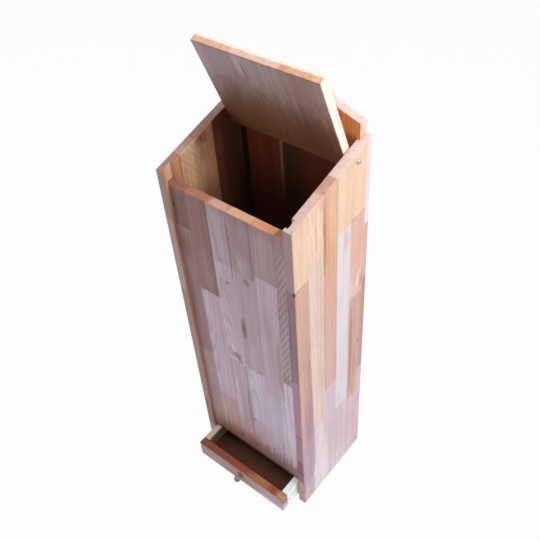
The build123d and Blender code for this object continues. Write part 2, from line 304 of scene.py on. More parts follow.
timberGrain = makeGrainGroup("timberGrain", grainSettings)
calmShares = {"lineShare": 0.20, "streakShare": 0.26, "paleShare": 0.34, "poreShare": 0.24}
calmGrain = makeGrainGroup("calmGrain", {**grainSettings, **calmShares})


# What all boards share, with lengths in millimetres
boardSettings = {
    "endRange": (0.55, 0.85),
    "endShare": 0.85,
    "acrossSpan": (-170, 170),
    "fingerHalf": 1.9,
    "fingerSlope": 2.6,
    "insideFrom": 6.0,
    "wholeDepth": (0, 1000),
    "ragged": 0.7,
    "raggedWaves": (0.22, 0.22, 0.05),
    "core": 0.3,
    "stirWaves": 0.09,
    "glueEdge": 0.45,
    "glueCore": 0.1,
    "glueShare": 0.22,
    "specular": 0.35,
    "bump": 0.35,
    "bumpDepth": 0.3,
}


def boardPlace(tree, board):
    # Millimetres across, through and along the board, from the zero that it gives for each axis
    spot = add(tree, "ShaderNodeTexCoord")
    level = spot.outputs["Object"]
    if "turned" in board:
        turned = add(tree, "ShaderNodeMapping", vector_type="TEXTURE")
        feed(tree, turned.inputs["Vector"], level)
        turned.inputs["Location"].default_value = board["turned"]["about"]
        turned.inputs["Rotation"].default_value = (board["turned"]["angle"], 0, 0)
        level = turned.outputs[0]
    split = add(tree, "ShaderNodeSeparateXYZ")
    feed(tree, split.inputs[0], level)
    joined = add(tree, "ShaderNodeCombineXYZ")
    for socket, (axis, zero) in zip(joined.inputs, board["axes"]):
        feed(tree, socket, calc(tree, "MULTIPLY_ADD", split.outputs["XYZ".index(axis)], 1 / mm, -zero))
    facing = vectorCalc(tree, "DOT_PRODUCT", spot.outputs["Normal"], board["grainWay"])
    return joined.outputs[0], ease(tree, calc(tree, "ABSOLUTE", facing), *boardSettings["endRange"])


def spanShare(tree, value, span):
    # From 0 to 1, evenly, while the value goes through the span
    node = add(tree, "ShaderNodeMapRange")
    for socket, number in zip(node.inputs, (value, span[0], span[1], 0.0, 1.0)):
        feed(tree, socket, number)
    return node.outputs[0]


def stripRamp(tree, along, strip, span):
    # One strip: lengths of wood jointed end to end, each with its tone and its own seed
    ramp = add(tree, "ShaderNodeValToRGB")
    ramp.color_ramp.interpolation = "CONSTANT"
    feed(tree, ramp.inputs[0], spanShare(tree, along, span))
    stops = ramp.color_ramp.elements
    for number, (start, tone, seed) in enumerate(strip):
        share = max(0.0, (start - span[0]) / (span[1] - span[0]))
        if number == 0:
            stop = stops[0]
            stop.position = 0.0
        elif number == 1:
            stop = stops[-1]
            stop.position = share
        else:
            stop = stops.new(share)
        stop.color = (*woodTone(tone)[:3], seed)
    if len(strip) == 1:
        stops.remove(stops[-1])
    return ramp.outputs["Color"], ramp.outputs["Alpha"]


def acrossRamp(tree, across, tones):
    # One tone for each stretch across the board
    ramp = add(tree, "ShaderNodeValToRGB")
    ramp.color_ramp.interpolation = "CONSTANT"
    span = boardSettings["acrossSpan"]
    feed(tree, ramp.inputs[0], spanShare(tree, across, span))
    stops = ramp.color_ramp.elements
    stops.remove(stops[-1])
    for number, (start, tone) in enumerate(tones):
        share = (start - span[0]) / (span[1] - span[0])
        stop = stops.new(share) if number else stops[0]
        stop.color = woodTone(tone)
    return ramp.outputs["Color"]


def markShare(tree, place, mark):
    # Soft oval in the board, with a slightly ragged edge; depth keeps it to one face
    middle, half = mark.get("depth", boardSettings["wholeDepth"])
    oval = add(tree, "ShaderNodeMapping", vector_type="TEXTURE")
    feed(tree, oval.inputs["Vector"], place)
    oval.inputs["Location"].default_value = (mark["at"][0], middle, mark["at"][1])
    oval.inputs["Rotation"].default_value = (0, math.radians(mark.get("lean", 0)), 0)
    oval.inputs["Scale"].default_value = (mark["size"][0], half, mark["size"][1])
    wander = mark.get("ragged", boardSettings["ragged"])
    stir = noise(tree, place, boardSettings["raggedWaves"])
    ragged = calc(tree, "MULTIPLY_ADD", stir, wander, -wander / 2)
    off = calc(tree, "ADD", vectorCalc(tree, "LENGTH", oval.outputs[0]), ragged)
    return ease(tree, off, 1.0, mark.get("core", boardSettings["core"]), 0.0, mark["share"])


def figureShare(tree, parts, figure):
    # Slanting bands inside a box of the board's face
    across, along = parts.outputs[0], parts.outputs[2]
    inside = 1.0
    for value, (low, high) in ((across, figure["across"]), (along, figure["along"])):
        inside = calc(tree, "MULTIPLY", inside, calc(tree, "GREATER_THAN", value, low))
        inside = calc(tree, "MULTIPLY", inside, calc(tree, "LESS_THAN", value, high))
    run = calc(tree, "MULTIPLY_ADD", across, -figure["slope"], along)
    stir = add(tree, "ShaderNodeTexNoise", noise_dimensions="1D")
    feed(tree, stir.inputs["W"], calc(tree, "MULTIPLY", run, boardSettings["stirWaves"]))
    stirred = calc(tree, "MULTIPLY", stir.outputs["Fac"], figure["stir"])
    waves = calc(tree, "MULTIPLY_ADD", run, 2 * math.pi / figure["period"], stirred)
    bands = ease(tree, calc(tree, "SINE", waves), *figure["band"], 0.0, figure["share"])
    return calc(tree, "MULTIPLY", bands, inside)


def timber(name, board):
    # Material for a board of one or more glued strips
    material = bpy.data.materials.new(name)
    material.use_nodes = True
    tree = material.node_tree
    shader = tree.nodes["Principled BSDF"]
    place, end = boardPlace(tree, board)
    parts = add(tree, "ShaderNodeSeparateXYZ")
    feed(tree, parts.inputs[0], place)
    across, through, along = parts.outputs
    edges = board.get("edges", ())

    # Fingers of the end joints show as a comb on the board's edges
    comb = calc(tree, "PINGPONG", through, boardSettings["fingerHalf"])
    toothed = calc(tree, "MULTIPLY_ADD", comb, boardSettings["fingerSlope"], along)
    tone, seed = stripRamp(tree, toothed, board["strips"][0], board["span"])
    for edge, strip in zip(edges, board["strips"][1:]):
        beyond = calc(tree, "GREATER_THAN", across, edge)
        nextTone, nextSeed = stripRamp(tree, toothed, strip, board["span"])
        tone = blend(tree, beyond, tone, nextTone)
        seed = blendNumber(tree, beyond, seed, nextSeed)

    # Inner faces take their own tones across the board: painted shade of the box's inside, partly the wood's
    # own tone
    if "inside" in board:
        toInside = calc(tree, "MULTIPLY", through, board["inside"]["side"])
        insideShadeTone = acrossRamp(tree, across, board["inside"]["tones"])
        onShadedInside = calc(tree, "GREATER_THAN", toInside, boardSettings["insideFrom"])
        tone = blend(tree, onShadedInside, tone, insideShadeTone)

    bend = 0.0
    for mark in board.get("marks", ()):
        share = markShare(tree, place, mark)
        tone = blend(tree, share, tone, woodTone(mark["tone"]))
        if mark.get("knot"):
            bend = calc(tree, "MULTIPLY_ADD", share, mark["knot"], bend)
    for figure in board.get("figures", ()):
        tone = blend(tree, figureShare(tree, parts, figure), tone, woodTone(figure["tone"]))
    if "endTones" in board:
        endShare = calc(tree, "MULTIPLY", end, boardSettings["endShare"])
        tone = blend(tree, endShare, tone, acrossRamp(tree, across, board["endTones"]))
    # Marks over the end grain, such as a painted highlight
    for mark in board.get("paintedEndHighlights", ()):
        tone = blend(tree, markShare(tree, place, mark), tone, woodTone(mark["tone"]))

    # Place inside the strip, for its rings
    if edges:
        width = board["stripWidth"]
        count = calc(tree, "DIVIDE", calc(tree, "SUBTRACT", across, board["firstJoint"]), width)
        inStrip = calc(tree, "MULTIPLY_ADD", calc(tree, "FRACT", count), width, -width / 2)
    else:
        inStrip = across
    local = add(tree, "ShaderNodeCombineXYZ")
    for socket, value in zip(local.inputs, (inStrip, through, along)):
        feed(tree, socket, value)
    grain = add(tree, "ShaderNodeGroup", node_tree=board.get("grain", timberGrain))
    grainInputs = {"Place": local.outputs[0], "Tone": tone, "Seed": seed, "Bend": bend, "End": end}
    for label, value in grainInputs.items():
        feed(tree, grain.inputs[label], value)

    colour = grain.outputs["Color"]
    if edges:
        offMiddle = calc(tree, "ABSOLUTE", inStrip)
        glueStart = width / 2 - boardSettings["glueEdge"]
        glueFull = width / 2 - boardSettings["glueCore"]
        glue = ease(tree, offMiddle, glueStart, glueFull, 0.0, boardSettings["glueShare"])
        colour = blend(tree, glue, colour, woodTone("umber"))
    feed(tree, shader.inputs["Base Color"], colour)
    feed(tree, shader.inputs["Roughness"], grain.outputs["Roughness"])
    bump = add(tree, "ShaderNodeBump")
    bump.inputs["Strength"].default_value = boardSettings["bump"]
    bump.inputs["Distance"].default_value = boardSettings["bumpDepth"] * mm
    feed(tree, bump.inputs["Height"], grain.outputs["Height"])
    feed(tree, shader.inputs["Normal"], bump.outputs[0])
    shader.inputs["Specular IOR Level"].default_value = boardSettings["specular"]
    return material


def dress(name, material):
    slots = nodes[name].data.materials
    slots.clear()
    slots.append(material)


# Ways that grain runs
upright = (0, 0, 1)
acrossBox = (1, 0, 0)
frontToBack = (0, 1, 0)

# Depths that keep a mark to one face of a 14 mm board: place from mid-thickness, and reach
plusFace = (7, 2)
minusFace = (-7, 2)

# Front panel, seen from the front, strips from left to right and each from the bottom up
frontBoard = {
    "axes": (("X", 0), ("Y", -154), ("Z", 0)),
    "grainWay": upright,
    "span": (0, 740),
    "stripWidth": 36.8,
    "firstJoint": -69.7,
    "edges": (-69.7, -32.9, 4.2, 41.1, 77.8),
    "endTones": ((-170, "endBark"), (-70, "endRust"), (-29, "endAmber"), (4, "endPeach"),
                 (41, "endOrange"), (78, "endBark")),
    "strips": (
        ((0, "greyMauve", 0.13), (284, "mauveRose", 0.31), (551, "cocoa", 0.58)),
        ((0, "sandBlush", 0.22), (187, "lilac", 0.71), (441, "duskRose", 0.43)),
        ((0, "mauve", 0.64), (304, "lilac", 0.17), (518, "greyLilac", 0.83)),
        ((0, "lilac", 0.27), (168, "paleLilac", 0.76), (307, "mauve", 0.39), (517, "greyMauve", 0.66)),
        ((0, "paleLilac", 0.19), (272, "lilac", 0.88), (527, "rosewater", 0.52)),
        ((0, "whiteLilac", 0.93), (325, "greyRose", 0.25), (590, "oldRose", 0.55)),
    ),
    "marks": (
        {"at": (-94, 585), "size": (4, 7), "tone": "knotAndShadeBrown", "share": 0.7, "knot": 6},
        {"at": (-77, 600), "size": (3, 6), "tone": "umber", "share": 0.6, "knot": 5},
        {"at": (-86, 516), "size": (16, 44), "tone": "cocoa", "share": 0.75},
        {"at": (-51, 486), "size": (20, 56), "tone": "oldRose", "share": 0.55},
        {"at": (-45, 500), "size": (4, 34), "tone": "duskRose", "share": 0.5},
        {"at": (0.5, 562), "size": (3.6, 88), "tone": "duskRose", "share": 0.85},
        {"at": (-12.5, 483), "size": (2.5, 6), "tone": "knotAndShadeBrown", "share": 0.75, "knot": 5},
        {"at": (-16, 322), "size": (17, 9), "tone": "duskRose", "share": 0.75, "lean": -25, "knot": 6},
        {"at": (-11, 318), "size": (6, 5), "tone": "knotRose", "share": 0.85, "knot": 4},
        {"at": (24, 505), "size": (8, 10), "tone": "duskRose", "share": 0.6, "lean": -20},
        {"at": (8.5, 400), "size": (5.5, 30), "tone": "knotRose", "share": 0.75, "core": 0.5,
         "knot": 7},
        {"at": (-1, 190), "size": (6, 90), "tone": "oldRose", "share": 0.6},
        {"at": (-24, 200), "size": (7, 100), "tone": "paleLilac", "share": 0.7},
        {"at": (19, 235), "size": (9, 75), "tone": "ashWhite", "share": 0.75},
        {"at": (7, 165), "size": (3, 5), "tone": "knotAndShadeBrown", "share": 0.6, "knot": 5},
        {"at": (71, 360), "size": (7, 90), "tone": "oldRose", "share": 0.7},
        {"at": (92, 400), "size": (17, 95), "tone": "pinkLilac", "share": 0.95, "core": 0.5},
        {"at": (22, 340), "size": (16, 42), "tone": "lilac", "share": 0.6},
        {"at": (22, 535), "size": (17, 26), "tone": "lilac", "share": 0.6},
        {"at": (68, 190), "size": (9, 80), "tone": "whiteLilac", "share": 0.6},
        {"at": (-14, 430), "size": (17, 90), "tone": "mauve", "share": 0.4},
        {"at": (-62, 300), "size": (8, 110), "tone": "mauve", "share": 0.5},
        {"at": (-8, 312), "size": (7, 9), "tone": "duskRose", "share": 0.6},
        {"at": (8, 100), "size": (3, 30), "tone": "duskRose", "share": 0.5},
        # Painted shade: the panel's foot turns browner and darker towards the drawer
        {"at": (0, 60), "size": (300, 130), "tone": "hazel", "share": 0.38, "core": 0.1},
        {"at": (0, 54), "size": (300, 66), "tone": "bark", "share": 0.64, "core": 0.4},
        {"at": (0, 58), "size": (300, 10), "tone": "mahogany", "share": 0.8, "core": 0.3},
        {"at": (0, 622), "size": (300, 26), "tone": "duskRose", "share": 0.42},
        {"at": (-62, 66), "size": (9, 16), "tone": "russet", "share": 0.6},
        {"at": (-28, 84), "size": (6, 12), "tone": "russet", "share": 0.5},
    ),
    "figures": (
        {"across": (77.8, 110), "along": (325, 590), "slope": 2.0, "period": 15.5, "stir": 2.0,
         "band": (0.0, 0.9), "tone": "duskRose", "share": 0.58},
        {"across": (4.2, 41.1), "along": (517, 618), "slope": -2.4, "period": 6.5, "stir": 5.0,
         "band": (-0.5, 0.6), "tone": "duskRose", "share": 0.4},
    ),
}
dress("front_panel", timber("frontPanelWood", frontBoard))

# Right side, seen from the right, strips from front to back
rightBoard = {
    "grain": calmGrain,
    "axes": (("Y", 0), ("X", 104), ("Z", 0)),
    "grainWay": upright,
    "span": (0, 740),
    "stripWidth": 31.4,
    "firstJoint": -136.3,
    "edges": (-165.4, -136.3, -104.9, -73.5, -42.1, -10.7),
    "endTones": ((-170, "endRose"), (-104, "endDusk"), (-76, "endPink")),
    "strips": (
        ((0, "salmon", 0.14), (68, "duskMauve", 0.36), (135, "roseMauve", 0.36),
         (350, "slateMauve", 0.36), (542, "greyMauve", 0.62)),
        ((0, "rosyLilac", 0.14), (68, "tan", 0.41), (541, "shell", 0.07)),
        ((0, "petal", 0.23), (562, "shell", 0.68)),
        ((0, "pinkLilac", 0.45), (267, "fawnRose", 0.34), (510, "apricot", 0.91)),
        ((0, "pinkLilac", 0.33), (184, "ashWhite", 0.57), (569, "shell", 0.11)),
        ((0, "rosyLilac", 0.85), (173, "duskSand", 0.29), (418, "salmon", 0.74), (575, "shell", 0.74)),
        ((0, "pinkLilac", 0.53), (230, "roseTan", 0.96), (440, "salmon", 0.96), (545, "paleLilac", 0.41)),
    ),
    "marks": (
        {"at": (-121, 10), "size": (30, 240), "tone": "paleLilac", "share": 0.95, "core": 0.5},
        {"at": (-142, 330), "size": (5, 130), "tone": "duskRose", "share": 0.45},
        {"at": (-139, 270), "size": (5, 80), "tone": "heartMauve", "share": 0.8},
        {"at": (-151, 95), "size": (23, 150), "depth": plusFace, "tone": "heartLilac",
         "share": 0.95, "core": 0.5, "lean": 3},
        {"at": (-147, 225), "size": (18, 130), "depth": plusFace, "tone": "heartMauve",
         "share": 0.8, "core": 0.2},
        {"at": (-150, 10), "size": (28, 70), "depth": plusFace, "tone": "pinkLilac", "share": 0.5},
        {"at": (-60, 20), "size": (60, 60), "tone": "paleLilac", "share": 0.4},
        {"at": (-166, 206), "size": (4, 7), "tone": "duskMauve", "share": 0.5},
        {"at": (-160, 265), "size": (3, 90), "tone": "rosewater", "share": 0.6},
        {"at": (-158, 470), "size": (4, 60), "tone": "tan", "share": 0.55},
        {"at": (-134.5, 460), "size": (1.7, 200), "tone": "ashWhite", "share": 0.8},
        {"at": (-112, 480), "size": (5, 120), "tone": "shell", "share": 0.6},
        {"at": (-120, 612), "size": (15, 50), "tone": "paleShell", "share": 0.5},
        {"at": (-38, 440), "size": (6, 26), "tone": "ashWhite", "share": 0.6},
        {"at": (-14, 200), "size": (5, 50), "tone": "ashWhite", "share": 0.4},
        {"at": (-99, 625), "size": (6, 110), "tone": "hazel", "share": 0.85},
        {"at": (-89, 500), "size": (17, 125), "tone": "hazel", "share": 0.75},
        {"at": (-101, 575), "size": (4, 80), "tone": "chestnut", "share": 0.8, "core": 0.4},
        {"at": (-92, 590), "size": (4, 60), "tone": "honey", "share": 0.6},
        {"at": (-35, 300), "size": (4.2, 130), "tone": "rosewood", "share": 0.95, "core": 0.5},
        {"at": (-25, 262), "size": (6, 60), "tone": "rosewood", "share": 0.5},
        {"at": (-38, 230), "size": (3, 46), "tone": "oldRose", "share": 0.6},
        {"at": (-24, 445), "size": (5, 34), "tone": "ashWhite", "share": 0.7, "lean": 16},
        {"at": (-13, 445), "size": (3, 26), "tone": "duskRose", "share": 0.7, "lean": 10},
        {"at": (-26, 515), "size": (14, 40), "tone": "hazel", "share": 0.4},
        {"at": (-52, 545), "size": (9, 24), "tone": "salmon", "share": 0.7},
        {"at": (-66, 500), "size": (7, 90), "tone": "paleLilac", "share": 0.6},
        {"at": (-52, 250), "size": (12, 60), "tone": "pinkLilac", "share": 0.4},
        {"at": (-15, 306), "size": (2.6, 6), "tone": "knotAndShadeBrown", "share": 0.8, "knot": 5},
        {"at": (-166, 98), "size": (6, 6), "tone": "umber", "share": 0.4},
        {"at": (-166, 445), "size": (4, 60), "depth": (-3.5, 2.2), "tone": "plum", "share": 0.45},
        {"at": (-166, 580), "size": (4, 70), "depth": (0, 1.6), "tone": "oldRose", "share": 0.5},
        {"at": (-166, 537), "size": (3, 4), "depth": (5.8, 1.8), "tone": "ink", "share": 0.95,
         "core": 0.6},
    ),
}
dress("right_side", timber("rightSideWood", rightBoard))

# Left side, its strips from front to back, with its inner face in view
leftBoard = {
    "axes": (("Y", 0), ("X", -104), ("Z", 0)),
    "grainWay": upright,
    "span": (0, 740),
    "stripWidth": 31.6,
    "firstJoint": -133,
    "edges": (-165.4, -133, -101.4, -69.8, -38.2, -6.6),
    # Inner-face tones, darker towards the back: painted shade, partly the wood's own tone
    "inside": {
        "side": 1,
        "tones": ((-170, "lipTan"), (-133, "wheat"), (-101.4, "hazel"), (-69.8, "maroon"),
                  (-38.2, "umber"), (-6.6, "cocoa")),
    },
    "endTones": ((-170, "endUmber"), (-134, "endFawn"), (-119, "endTan"),
                 (-104, "endSepia"), (-44, "endUmber")),
    "strips": (
        ((0, "tan", 0.37), (58, "duskRose", 0.12), (140, "oldRose", 0.12),
         (420, "blush", 0.12), (560, "greyOlive", 0.72)),
        ((0, "blush", 0.37), (210, "salmon", 0.12), (476, "shell", 0.72)),
        ((0, "salmon", 0.24), (330, "paleShell", 0.49), (540, "tan", 0.61)),
        ((0, "shell", 0.81), (260, "sandRose", 0.34), (470, "salmon", 0.56)),
        ((0, "tan", 0.17), (390, "paleShell", 0.94)),
        ((0, "sandBlush", 0.65), (300, "apricot", 0.28)),
        ((0, "salmon", 0.44), (420, "sandRose", 0.87)),
    ),
    "marks": (
        {"at": (-106, 600), "size": (5, 60), "depth": plusFace, "tone": "olive", "share": 0.5},
        {"at": (-93, 651), "size": (3, 5), "tone": "russet", "share": 0.8, "knot": 6},
        {"at": (-156, 600), "size": (7, 90), "depth": plusFace, "tone": "hazel", "share": 0.5},
        {"at": (-84, 570), "size": (10, 50), "depth": plusFace, "tone": "tan", "share": 0.7},
        # Marks on the inner face from here: painted shade of the box's inside and of the lid, and a lighter
        # painted patch where light falls
        {"at": (-16, 300), "size": (60, 400), "depth": plusFace, "tone": "shadowBlack", "share": 0.8,
         "ragged": 0.1},
        {"at": (-110, 536), "size": (80, 70), "depth": plusFace, "tone": "umber", "share": 0.5,
         "ragged": 0.2},
        {"at": (-92, 650), "size": (18, 14), "depth": plusFace, "tone": "maroon", "share": 0.5,
         "ragged": 0.2},
        {"at": (-98, 607), "size": (17, 19), "depth": plusFace, "tone": "shell", "share": 0.5,
         "ragged": 0.2},
        {"at": (-60, 628), "size": (13, 28), "depth": plusFace, "tone": "rosewood", "share": 0.22,
         "ragged": 0.2},
        {"at": (-145, 556), "size": (14, 38), "depth": plusFace, "tone": "umber", "share": 0.4,
         "ragged": 0.2},
        {"at": (-118, 250), "size": (8, 120), "tone": "oldRose", "share": 0.5},
        {"at": (-60, 200), "size": (5, 90), "tone": "duskRose", "share": 0.5},
    ),
    "figures": (
        {"across": (-133, -101.4), "along": (480, 700), "slope": -1.4, "period": 13, "stir": 16.0,
         "band": (-0.2, 0.9), "tone": "hazel", "share": 0.6},
    ),
}
dress("left_side", timber("leftSideWood", leftBoard))

# Back panel, its strips from left to right
backBoard = {
    "axes": (("X", 0), ("Y", -7), ("Z", 0)),
    "grainWay": upright,
    "span": (0, 740),
    "stripWidth": 31.5,
    "firstJoint": -85.3,
    "endTones": ((-170, "endRose"), (-40, "endPeach"), (20, "endPink")),
    "edges": (-85.3, -53.8, -22.3, 9.2, 40.7, 72.2),
    # Inner-face tones: painted shade of the box's inside, darkest to the left, partly the wood's own tone
    "inside": {
        "side": -1,
        "tones": ((-170, "shadowBlack"), (-87, "oxblood"), (-53.8, "russet"), (-22.3, "deepPeat"),
                  (9.2, "bloodBrown"), (66.0, "amber")),
    },
    "strips": (
        ((0, "salmon", 0.21), (250, "sandBlush", 0.48)),
        ((0, "shell", 0.67), (180, "tan", 0.35), (440, "sandRose", 0.13)),
        ((0, "oldRose", 0.54), (300, "shell", 0.92), (500, "salmon", 0.26)),
        ((0, "sandRose", 0.39), (220, "salmon", 0.77), (470, "paleShell", 0.62)),
        ((0, "paleShell", 0.18), (340, "tan", 0.59), (520, "blush", 0.31)),
        ((0, "tan", 0.84), (200, "sandBlush", 0.46), (455, "apricot", 0.73)),
        ((0, "apricot", 0.25), (380, "paleShell", 0.98)),
    ),
    "marks": (
        {"at": (-34, 600), "size": (9, 110), "depth": minusFace, "tone": "driftBrown", "share": 0.5},
        {"at": (-25, 600), "size": (4, 90), "depth": minusFace, "tone": "honey", "share": 0.8},
        # Painted shade: the inner face darkens towards the bottom of the box
        {"at": (0, 180), "size": (480, 480), "depth": minusFace, "tone": "shadowBlack", "share": 0.88,
         "core": 0.67, "ragged": 0.06},
        {"at": (88, 668), "size": (20, 20), "depth": minusFace, "tone": "mahogany", "share": 0.6,
         "ragged": 0.3},
        {"at": (-36, 714), "size": (100, 54), "depth": minusFace, "tone": "salmon", "share": 0.75,
         "core": 0.8, "ragged": 0.05},
        {"at": (30, 260), "size": (6, 90), "tone": "duskRose", "share": 0.5},
        {"at": (-66, 330), "size": (4, 8), "tone": "knotAndShadeBrown", "share": 0.7, "knot": 6},
    ),
}
dress("back_panel", timber("backPanelWood", backBoard))

# Lid, open in the photograph: its grain runs from the free edge to the hinge
lidOpen = math.radians(68.9)
hingeLine = (0, -0.030, 0.65973)
lidBoard = {
    "grain": calmGrain,
    "turned": {"about": hingeLine, "angle": -lidOpen},
    "axes": (("X", 0), ("Z", 0), ("Y", 0)),
    "grainWay": (0, math.cos(lidOpen), -math.sin(lidOpen)),
    "span": (-160, 20),
    "stripWidth": 36.8,
    "firstJoint": -74.5,
    "edges": (-74.5, -37.7, -0.9, 35.9, 72.7, 95.4),
    "endTones": ((-170, "endPeach"), (-37, "endSand"), (36, "endOrange"), (50, "endPeach")),
    "strips": (
        ((-160, "greyRose", 0.42),),
        ((-160, "greyRose", 0.63),),
        ((-160, "sandRose", 0.15),),
        ((-160, "sandRose", 0.87),),
        ((-160, "duskSand", 0.38),),
        ((-160, "tan", 0.69),),
        ((-160, "ivory", 0.69),),
    ),
    "marks": (
        {"at": (-21, -112), "size": (1.5, 20), "tone": "umber", "share": 0.8, "lean": 8},
        {"at": (-40, -98), "size": (1.4, 9), "tone": "umber", "share": 0.7},
        {"at": (-28, -120), "size": (5, 26), "tone": "lilac", "share": 0.6, "lean": 8},
        {"at": (4, -70), "size": (3.5, 5), "tone": "knotAndShadeBrown", "share": 0.6, "knot": 6},
        {"at": (-88, -110), "size": (12, 50), "tone": "lilac", "share": 0.25},
        {"at": (-27, -98), "size": (17, 17), "depth": minusFace, "tone": "greyRose", "share": 0.8},
        {"at": (-20, -50), "size": (12, 40), "tone": "olive", "share": 0.5},
        # Painted shade: the underside darkens towards the hinge
        {"at": (0, 0), "size": (300, 123), "depth": minusFace, "tone": "driftBrown", "share": 0.93,
         "core": 0.35, "ragged": 0.45},
        {"at": (0, 10), "size": (300, 78), "depth": minusFace, "tone": "bark", "share": 0.75,
         "core": 0.3},
        {"at": (60, -30), "size": (44, 62), "depth": minusFace, "tone": "maroon", "share": 0.4,
         "core": 0.2},
        {"at": (-62, -68), "size": (24, 40), "depth": minusFace, "tone": "umber", "share": 0.3,
         "core": 0.1},
        # Painted shadow line along the underside's arris at the free end
        {"at": (0, -140), "size": (300, 1.6), "depth": minusFace, "tone": "umber", "share": 0.6,
         "core": 0.5},
    ),
    "paintedEndHighlights": (
        # Painted highlight: the rounded outer half of the free end turned near white
        {"at": (0, -141), "size": (300, 12), "depth": (8, 8), "tone": "ivory", "share": 0.95,
         "core": 0.6, "ragged": 0.1},
    ),
}
dress("lid", timber("lidWood", lidBoard))
print("carcass and lid boards finished")

# Plain boards and turned pieces: one length of wood each, but for the base board's two
drawerFront = {
    "axes": (("Z", 40), ("Y", -202), ("X", 0)),
    "grainWay": acrossBox,
    "span": (-111, 111),
    "strips": (((-111, "greyRose", 0.52),),),
    "marks": (
        {"at": (-8, 30), "size": (6, 60), "tone": "oldRose", "share": 0.5},
        {"at": (6, -60), "size": (5, 44), "tone": "oldRose", "share": 0.5},
        {"at": (0, 66), "size": (17, 70), "tone": "frostLilac", "share": 0.5},
        {"at": (-14, 76), "size": (8, 60), "tone": "whiteLilac", "share": 0.7},
        {"at": (-13, -24), "size": (7, 34), "tone": "duskRose", "share": 0.6},
        # Painted shadow of the knob on the face round its foot
        {"at": (2, 1), "size": (10, 10), "depth": minusFace, "tone": "cocoa", "share": 0.6,
         "core": 0.5},
        # The top edge is darker red-brown: the wood's own tone, with painted shade
        {"at": (19, 0), "size": (4, 400), "tone": "russet", "share": 0.95, "core": 0.85},
        {"at": (19, -92), "size": (4, 70), "tone": "mahogany", "share": 0.3},
        {"at": (19, 46), "size": (4.5, 44), "tone": "honey", "share": 0.4, "core": 0.4},
        {"at": (19, 92), "size": (4.5, 26), "tone": "honey", "share": 0.7, "core": 0.4},
        {"at": (17, 72), "size": (3, 13), "tone": "mahogany", "share": 0.25, "lean": 6},
        {"at": (20, 95), "size": (4, 9), "tone": "apricot", "share": 0.8},
        {"at": (7, 97), "size": (9, 2.4), "tone": "plum", "share": 0.85, "core": 0.5},
    ),
}
dress("drawer_front", timber("drawerFrontWood", drawerFront))

drawerLeftSide = {
    "axes": (("Z", 38), ("X", -90), ("Y", 0)),
    "grainWay": frontToBack,
    "span": (-260, 0),
    "strips": (((-260, "creamWood", 0.31),),),
    # Painted shade on the inner face
    "marks": ({"at": (0, -130), "size": (300, 300), "depth": (6, 1.5), "tone": "dimCream",
               "share": 0.95},),
}
dress("drawer_left_side", timber("drawerLeftSideWood", drawerLeftSide))

drawerRightSide = {
    "axes": (("Z", 38), ("X", 90), ("Y", 0)),
    "grainWay": frontToBack,
    "span": (-260, 0),
    "strips": (((-260, "softwood", 0.76),),),
    "marks": ({"at": (18, -183), "size": (2, 1.1), "depth": (4, 1.2), "tone": "ink", "share": 0.8},),
}
dress("drawer_right_side", timber("drawerRightSideWood", drawerRightSide))

drawerBack = {
    "axes": (("Z", 43), ("Y", -68), ("X", 0)),
    "grainWay": acrossBox,
    "span": (-111, 111),
    "strips": (((-111, "softwood", 0.57),),),
}
dress("drawer_back", timber("drawerBackWood", drawerBack))

drawerBottom = {
    "axes": (("Y", -120), ("Z", 28), ("X", 0)),
    "grainWay": acrossBox,
    "span": (-111, 111),
    "strips": (((-111, "mahogany", 0.83),),),
    # Painted shadow of the front panel across the floor
    "marks": ({"at": (-30, 0), "size": (30, 400), "tone": "shadowBlack", "share": 0.6},),
}
dress("drawer_bottom", timber("drawerBottomWood", drawerBottom))

baseBoard = {
    "axes": (("Y", -80), ("Z", 13), ("X", 0)),
    "grainWay": acrossBox,
    "span": (-111, 111),
    "strips": (((-111, "salmon", 0.19), (10, "tan", 0.44)),),
}
dress("base_board", timber("baseBoardWood", baseBoard))

leftFloorCleat = {
    "axes": (("Z", 64), ("X", -91), ("Y", 0)),
    "grainWay": frontToBack,
    "span": (-170, 0),
    "strips": (((-170, "tan", 0.66),),),
}
dress("left_floor_cleat", timber("leftFloorCleatWood", leftFloorCleat))

rightFloorCleat = {
    "axes": (("Z", 64), ("X", 91), ("Y", 0)),
    "grainWay": frontToBack,
    "span": (-170, 0),
    "strips": (((-170, "tan", 0.27),),),
}
dress("right_floor_cleat", timber("rightFloorCleatWood", rightFloorCleat))

drawerDowels = {
    "axes": (("X", 0), ("Z", 40), ("Y", 0)),
    "grainWay": frontToBack,
    "span": (-260, 0),
    "strips": (((-260, "shell", 0.72),),),
}
dress("drawer_dowels", timber("drawerDowelsWood", drawerDowels))

drawerKnob = {
    "axes": (("X", 0), ("Y", -214), ("Z", 40)),
    "grainWay": upright,
    "span": (-20, 20),
    "strips": (((-20, "knobBrown", 0.36),),),
    # Painted shade round the knob's neck, next to the drawer face
    "marks": ({"at": (0, 0), "size": (20, 20), "depth": (6, 4), "tone": "knotAndShadeBrown", "share": 0.75},),
}
dress("drawer_knob", timber("drawerKnobWood", drawerKnob))

# Slats of the bread floor, from their places in the frame
slatTones = ("tan", "salmon", "greyRose", "shell", "tan", "oldRose")
firstSeed = 0.1
seedStep = 0.13
for number, tone in enumerate(slatTones, start=1):
    slatName = f"floor_slat_{number}"
    low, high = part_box(slatName)
    middle = (low + high) / 2 / mm
    slat = {
        "axes": (("Y", middle.y), ("Z", middle.z), ("X", 0)),
        "grainWay": acrossBox,
        "span": (-111, 111),
        "strips": (((-111, tone, firstSeed + seedStep * number),),),
    }
    dress(slatName, timber(f"slatWood{number}", slat))
print("drawer and bread floor finished")

